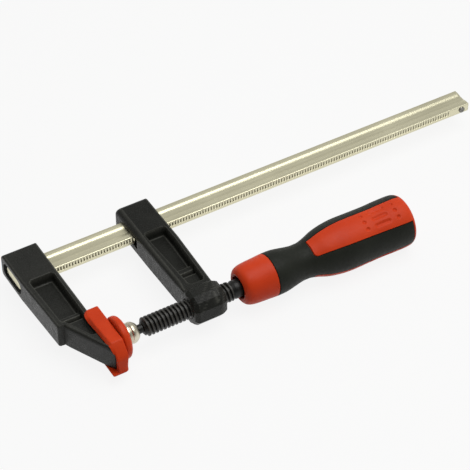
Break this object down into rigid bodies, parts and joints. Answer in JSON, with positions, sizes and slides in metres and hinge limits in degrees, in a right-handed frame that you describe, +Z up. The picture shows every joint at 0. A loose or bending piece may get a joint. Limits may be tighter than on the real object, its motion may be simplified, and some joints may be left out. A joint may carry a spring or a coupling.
{
  "type": "quick release clamp",
  "caption": "Quick release F-clamp: grooved steel bar, fixed jaw, sliding arm on a bite pin, screw with swivel pad, soft jaw caps and a two-colour handle.",
  "frame": {"origin": "middle of the bar's riveted head, where the bar's axis meets its flat outer face at the fixed jaw", "axes": "+X along the bar and the screw, from the fixed jaw to the bar's free end; +Y from the screw to the bar; +Z up through the castings, with the clamp lying on its side"},
  "size_m": [0.3835, 0.1299, 0.0396],
  "materials": {
    "drawn_steel": "cold drawn and plated, satin, lengthwise lines",
    "pin_steel": "hardened, ground",
    "black_iron": "black powder paint on cast iron, satin",
    "black_steel": "blackened and oiled rolled thread",
    "plated_steel": "bright nickel plate on a turned part",
    "red_soft": "moulded soft plastic, satin",
    "red_hard": "moulded hard plastic, fine satin",
    "black_rubber": "moulded soft elastomer, matt"
  },
  "bodies": {
    "frame": {"bar": "drawn_steel", "end_stop_pin": "pin_steel", "fixed_jaw": "black_iron", "jaw_cap": "red_soft"},
    "arm_slider": {"grip_pin": "pin_steel"},
    "arm": {"sliding_arm": "black_iron"},
    "screw_carrier": {"snap_ring": "pin_steel"},
    "screw_assembly": {"screw": "black_steel", "handle_core": "red_hard", "soft_grip": "black_rubber"},
    "pad": {"swivel_pad": "plated_steel", "pad_cap": "red_soft"}
  },
  "joints": [
    {"name": "arm_slide", "type": "slide", "parent": "frame", "child": "arm_slider", "axis": [1, 0, 0], "range_m": [0, 0.2575]},
    {"name": "arm_rock", "type": "hinge", "parent": "arm_slider", "child": "arm", "pos_m": [0.1101, -0.0118, 0], "axis": [0, 0, 1], "range_deg": [0, 1.5]},
    {"name": "screw_travel", "type": "slide", "parent": "arm", "child": "screw_carrier", "axis": [1, 0, 0], "range_m": [0, 0.036]},
    {"name": "screw_turn", "type": "hinge", "parent": "screw_carrier", "child": "screw_assembly", "pos_m": [0.0445, -0.0878, 0], "axis": [1, 0, 0], "range_deg": [0, 4320]},
    {"name": "pad_tilt", "type": "hinge", "parent": "screw_carrier", "child": "pad", "pos_m": [0.0445, -0.0878, 0], "axis": [0, 0, 1], "range_deg": [-1.5, 1.5]}
  ],
  "couplings": [
    {"joint": "screw_travel", "follows": "screw_turn", "m_per_rad": 0.00047746}
  ]
}
